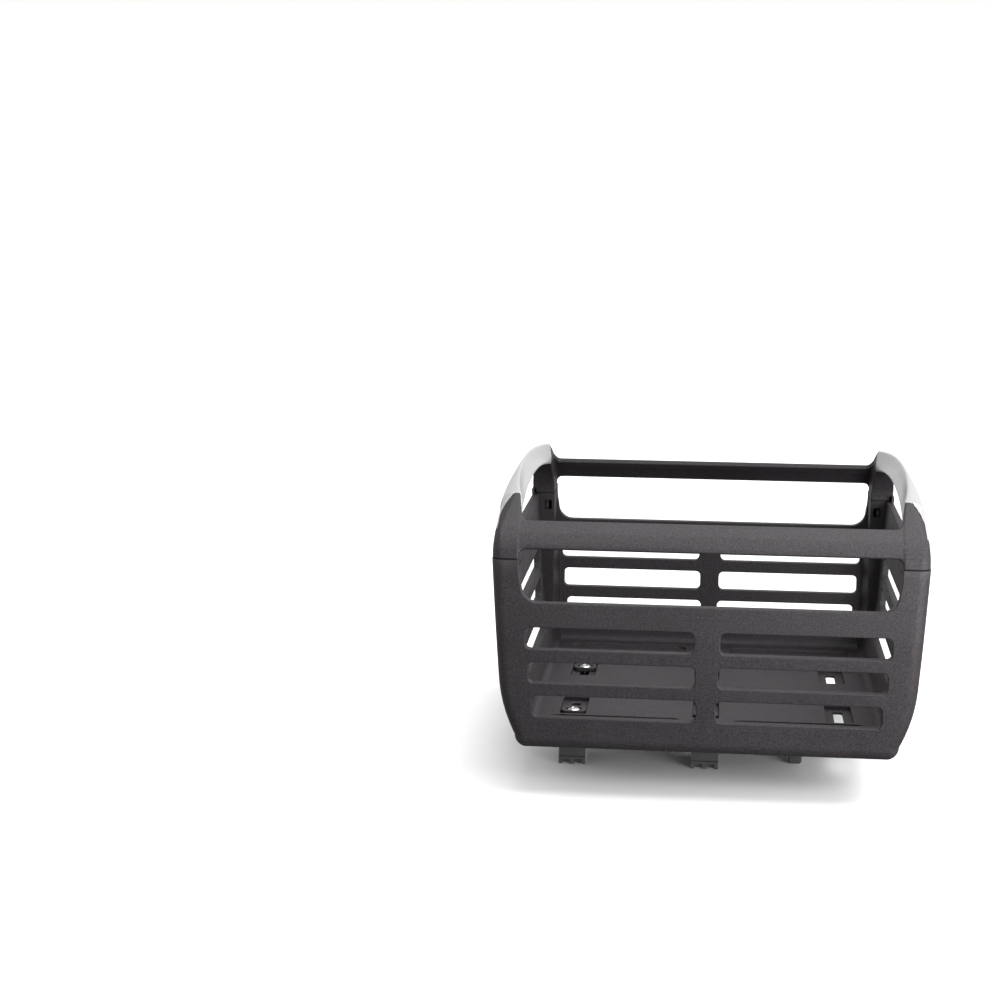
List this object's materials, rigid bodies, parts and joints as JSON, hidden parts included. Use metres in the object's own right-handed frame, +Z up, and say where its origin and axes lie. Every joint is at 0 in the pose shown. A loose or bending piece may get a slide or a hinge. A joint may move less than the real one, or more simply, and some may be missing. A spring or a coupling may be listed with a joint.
{
  "type": "bicycle rack basket",
  "caption": "Slotted plastic bicycle basket with raised side rails, silver end handles and sliding screw clamps that grip the rails of a front rack.",
  "frame": {"origin": "middle of the underside of the whole basket, on the plane of the clamps' and feet's lowest faces", "axes": "+X along the bicycle, from the handlebar side towards the free end; +Y from the near long side to the far long side; +Z up"},
  "size_m": [0.331, 0.382, 0.2415],
  "materials": {
    "grained_plastic": "fine moulded grain, charcoal",
    "silver_plastic": "satin silver",
    "clamp_plastic": "smooth black moulding",
    "zinc_steel": "zinc plated",
    "rubber": "dull black"
  },
  "bodies": {
    "basket": {"tub": "grained_plastic", "near_rail_frame": "grained_plastic", "far_rail_frame": "grained_plastic", "left_handle": "silver_plastic", "right_handle": "silver_plastic", "near_rest_foot": "rubber", "far_rest_foot": "rubber"},
    "near_left_clamp": {"near_left_washer_plate": "grained_plastic", "near_left_saddle": "clamp_plastic"},
    "near_left_screw": {"near_left_bolt": "zinc_steel"},
    "near_left_lower_jaw": {"near_left_jaw": "clamp_plastic", "near_left_nut": "zinc_steel"},
    "far_left_clamp": {"far_left_washer_plate": "grained_plastic", "far_left_saddle": "clamp_plastic"},
    "far_left_screw": {"far_left_bolt": "zinc_steel"},
    "far_left_lower_jaw": {"far_left_jaw": "clamp_plastic", "far_left_nut": "zinc_steel"},
    "near_middle_clamp": {"near_middle_washer_plate": "grained_plastic", "near_middle_saddle": "clamp_plastic"},
    "near_middle_screw": {"near_middle_bolt": "zinc_steel"},
    "near_middle_lower_jaw": {"near_middle_jaw": "clamp_plastic", "near_middle_nut": "zinc_steel"},
    "far_middle_clamp": {"far_middle_washer_plate": "grained_plastic", "far_middle_saddle": "clamp_plastic"},
    "far_middle_screw": {"far_middle_bolt": "zinc_steel"},
    "far_middle_lower_jaw": {"far_middle_jaw": "clamp_plastic", "far_middle_nut": "zinc_steel"}
  },
  "joints": [
    {"name": "near_left_clamp_slide", "type": "slide", "parent": "basket", "child": "near_left_clamp", "axis": [0, -1, 0], "range_m": [-0.025, 0.006]},
    {"name": "near_left_screw_turn", "type": "hinge", "parent": "near_left_clamp", "child": "near_left_screw", "pos_m": [-0.1085, -0.0726, 0.02], "axis": [0, 0, 1], "range_deg": [0, 2165]},
    {"name": "near_left_jaw_slide", "type": "slide", "parent": "near_left_clamp", "child": "near_left_lower_jaw", "axis": [0, 0, -1], "range_m": [0, 0.0048]},
    {"name": "far_left_clamp_slide", "type": "slide", "parent": "basket", "child": "far_left_clamp", "axis": [0, 1, 0], "range_m": [-0.025, 0.006]},
    {"name": "far_left_screw_turn", "type": "hinge", "parent": "far_left_clamp", "child": "far_left_screw", "pos_m": [-0.1085, 0.0726, 0.02], "axis": [0, 0, 1], "range_deg": [0, 2165]},
    {"name": "far_left_jaw_slide", "type": "slide", "parent": "far_left_clamp", "child": "far_left_lower_jaw", "axis": [0, 0, -1], "range_m": [0, 0.0048]},
    {"name": "near_middle_clamp_slide", "type": "slide", "parent": "basket", "child": "near_middle_clamp", "axis": [0, -1, 0], "range_m": [-0.025, 0.006]},
    {"name": "near_middle_screw_turn", "type": "hinge", "parent": "near_middle_clamp", "child": "near_middle_screw", "pos_m": [0, -0.0726, 0.02], "axis": [0, 0, 1], "range_deg": [0, 2165]},
    {"name": "near_middle_jaw_slide", "type": "slide", "parent": "near_middle_clamp", "child": "near_middle_lower_jaw", "axis": [0, 0, -1], "range_m": [0, 0.0048]},
    {"name": "far_middle_clamp_slide", "type": "slide", "parent": "basket", "child": "far_middle_clamp", "axis": [0, 1, 0], "range_m": [-0.025, 0.006]},
    {"name": "far_middle_screw_turn", "type": "hinge", "parent": "far_middle_clamp", "child": "far_middle_screw", "pos_m": [0, 0.0726, 0.02], "axis": [0, 0, 1], "range_deg": [0, 2165]},
    {"name": "far_middle_jaw_slide", "type": "slide", "parent": "far_middle_clamp", "child": "far_middle_lower_jaw", "axis": [0, 0, -1], "range_m": [0, 0.0048]}
  ],
  "couplings": [
    {"joint": "near_left_screw_turn", "follows": "near_left_jaw_slide", "rad_per_m": 7854},
    {"joint": "far_left_screw_turn", "follows": "far_left_jaw_slide", "rad_per_m": 7854},
    {"joint": "near_middle_screw_turn", "follows": "near_middle_jaw_slide", "rad_per_m": 7854},
    {"joint": "far_middle_screw_turn", "follows": "far_middle_jaw_slide", "rad_per_m": 7854}
  ]
}
